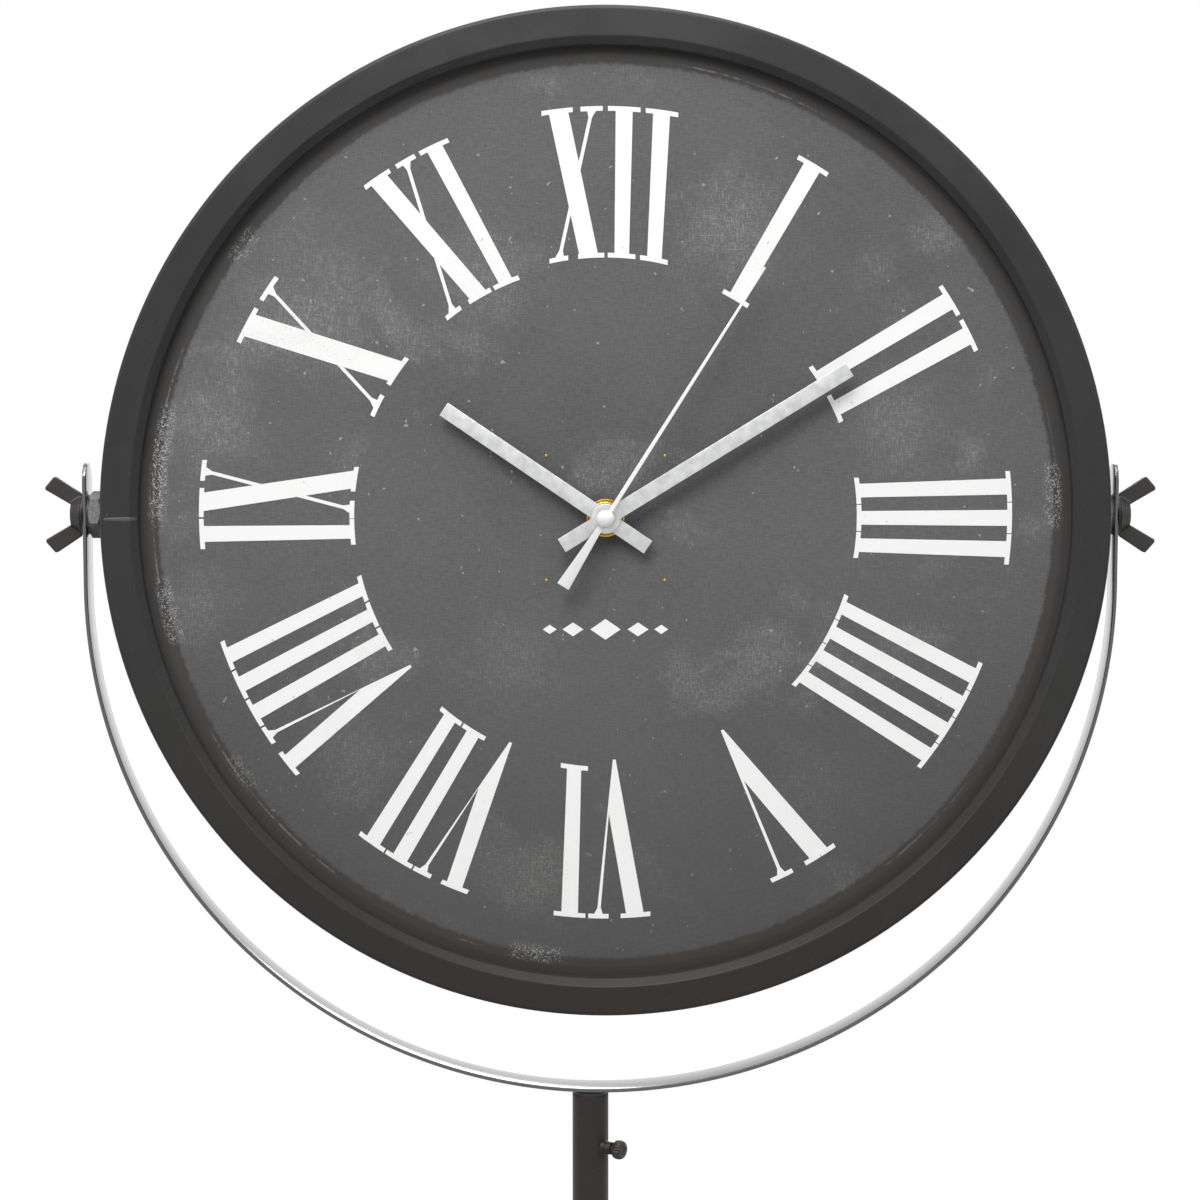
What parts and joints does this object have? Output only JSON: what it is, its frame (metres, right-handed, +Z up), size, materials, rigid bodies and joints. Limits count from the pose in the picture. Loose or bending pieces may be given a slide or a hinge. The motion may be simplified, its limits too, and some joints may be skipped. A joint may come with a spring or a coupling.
{
  "type": "tripod floor clock",
  "caption": "Large round dial clock in a steel case that tilts between wing nuts in a strap yoke, on a telescoping mast with a folding tripod.",
  "frame": {"origin": "on the floor, in the middle of the whole object's footprint", "axes": "+Z up, the dial faces -Y, +X to the right as seen from the front"},
  "size_m": [0.4846, 0.3888, 1.0507],
  "materials": {
    "rim_enamel": "satin dark grey enamel",
    "black_enamel": "satin warm black enamel",
    "dial_print": "matt grey print on thin fibreboard, worn like slate",
    "white_print": "matt white print, slightly worn",
    "silver": "brushed silver",
    "white_enamel": "gloss white",
    "brass": "polished",
    "zinc": "zinc plated",
    "dark_zinc": "dull grey plated",
    "black_plastic": "moulded black",
    "gear_plastic": "moulded natural acetal",
    "rubber": "matt black",
    "battery_sleeve": "printed sleeve without words",
    "copper_wire": "enamelled copper winding",
    "circuit_green": "solder mask"
  },
  "bodies": {
    "tripod": {"outer_mast": "black_enamel", "screw_boss": "black_enamel", "tripod_hub": "black_enamel", "mast_cap": "black_plastic", "leg_bolts": "zinc", "leg_nuts": "zinc"},
    "left_leg": {"leg_left": "black_enamel", "foot_left": "rubber"},
    "right_leg": {"leg_right": "black_enamel", "foot_right": "rubber"},
    "back_leg": {"leg_back": "black_enamel", "foot_back": "rubber"},
    "lock_screw": {"lock_screw": "black_enamel"},
    "guide_bush": {"guide_bush": "black_plastic"},
    "yoke": {"yoke_strap": "black_enamel", "inner_mast": "black_enamel", "inner_guide": "black_plastic", "wing_washers": "black_enamel"},
    "head": {"case_rim": "rim_enamel", "case_wall": "rim_enamel", "back_cover": "rim_enamel", "cover_screws": "zinc", "dial_board": "dial_print", "dial_numerals": "white_print", "dial_ornament": "white_print", "dial_clips": "zinc", "movement_case": "black_plastic", "movement_cover": "black_plastic", "movement_bush": "brass", "movement_gasket": "rubber", "brass_washer": "brass", "fixing_nut": "brass", "housing_pins": "brass", "battery": "battery_sleeve", "battery_contacts": "zinc", "drive_coil": "copper_wire", "stator": "zinc", "circuit_board": "circuit_green", "quartz_crystal": "silver", "pivot_bolts": "black_enamel", "pivot_plates": "zinc", "pivot_spacers": "black_enamel", "hex_nuts": "dark_zinc", "nylon_washers": "black_plastic"},
    "left_wing_nut": {"wing_nut_left": "black_enamel"},
    "right_wing_nut": {"wing_nut_right": "black_enamel"},
    "minute": {"cannon_pinion": "brass", "minute_hand": "silver"},
    "hour": {"hour_wheel": "gear_plastic", "hour_hand": "silver"},
    "setting": {"minute_wheel": "gear_plastic", "setting_knob": "black_plastic"},
    "second": {"second_wheel": "gear_plastic", "second_hand": "white_enamel", "hand_cap": "white_enamel"},
    "third": {"third_wheel": "gear_plastic"},
    "centre": {"centre_wheel": "gear_plastic"},
    "fifth": {"fifth_wheel": "gear_plastic"},
    "rotor": {"rotor": "gear_plastic"}
  },
  "joints": [
    {"name": "leg_fold_left", "type": "hinge", "parent": "tripod", "child": "left_leg", "pos_m": [-0.0235, -0.07279, 0.43], "axis": [0.5, -0.866, 0], "range_deg": [0, 28]},
    {"name": "leg_fold_right", "type": "hinge", "parent": "tripod", "child": "right_leg", "pos_m": [0.0146, -0.07279, 0.43], "axis": [0.5, 0.866, 0], "range_deg": [0, 28]},
    {"name": "leg_fold_back", "type": "hinge", "parent": "tripod", "child": "back_leg", "pos_m": [-0.00445, -0.03979, 0.43], "axis": [-1, 0, 0], "range_deg": [0, 28]},
    {"name": "lock_turn", "type": "hinge", "parent": "tripod", "child": "lock_screw", "pos_m": [-0.00445, -0.06179, 0.55345], "axis": [0.8192, -0.5736, 0], "continuous": true},
    {"name": "mast_pan", "type": "hinge", "parent": "tripod", "child": "guide_bush", "pos_m": [-0.00445, -0.06179, 0.579], "axis": [0, 0, 1], "continuous": true},
    {"name": "mast_lift", "type": "slide", "parent": "guide_bush", "child": "yoke", "axis": [0, 0, 1], "range_m": [0, 0.25]},
    {"name": "head_tilt", "type": "hinge", "parent": "yoke", "child": "head", "pos_m": [0, -0.06179, 0.835], "axis": [1, 0, 0], "continuous": true},
    {"name": "wing_nut_left_turn", "type": "hinge", "parent": "head", "child": "left_wing_nut", "pos_m": [0, -0.06179, 0.835], "axis": [-1, 0, 0], "continuous": true},
    {"name": "wing_nut_right_turn", "type": "hinge", "parent": "head", "child": "right_wing_nut", "pos_m": [0, -0.06179, 0.835], "axis": [1, 0, 0], "continuous": true},
    {"name": "minute_turn", "type": "hinge", "parent": "head", "child": "minute", "pos_m": [0.00215, -0.09479, 0.835], "axis": [0, 1, 0], "continuous": true},
    {"name": "hour_turn", "type": "hinge", "parent": "head", "child": "hour", "pos_m": [0.00215, -0.09479, 0.835], "axis": [0, 1, 0], "continuous": true},
    {"name": "setting_turn", "type": "hinge", "parent": "head", "child": "setting", "pos_m": [0.00215, -0.09479, 0.8445], "axis": [0, 1, 0], "continuous": true},
    {"name": "second_turn", "type": "hinge", "parent": "head", "child": "second", "pos_m": [0.00215, -0.09479, 0.835], "axis": [0, 1, 0], "continuous": true},
    {"name": "third_turn", "type": "hinge", "parent": "head", "child": "third", "pos_m": [-0.00685, -0.09479, 0.835], "axis": [0, 1, 0], "continuous": true},
    {"name": "centre_turn", "type": "hinge", "parent": "head", "child": "centre", "pos_m": [0.00215, -0.09479, 0.835], "axis": [0, 1, 0], "continuous": true},
    {"name": "fifth_turn", "type": "hinge", "parent": "head", "child": "fifth", "pos_m": [0.01115, -0.09479, 0.835], "axis": [0, 1, 0], "continuous": true},
    {"name": "rotor_turn", "type": "hinge", "parent": "head", "child": "rotor", "pos_m": [0.01574, -0.09479, 0.84155], "axis": [0, 1, 0], "continuous": true}
  ],
  "couplings": [
    {"joint": "setting_turn", "follows": "minute_turn", "ratio": -0.33333},
    {"joint": "hour_turn", "follows": "minute_turn", "ratio": 0.083333},
    {"joint": "third_turn", "follows": "second_turn", "ratio": -0.13333},
    {"joint": "centre_turn", "follows": "second_turn", "ratio": 0.016667},
    {"joint": "fifth_turn", "follows": "second_turn", "ratio": -5},
    {"joint": "rotor_turn", "follows": "second_turn", "ratio": 30}
  ]
}
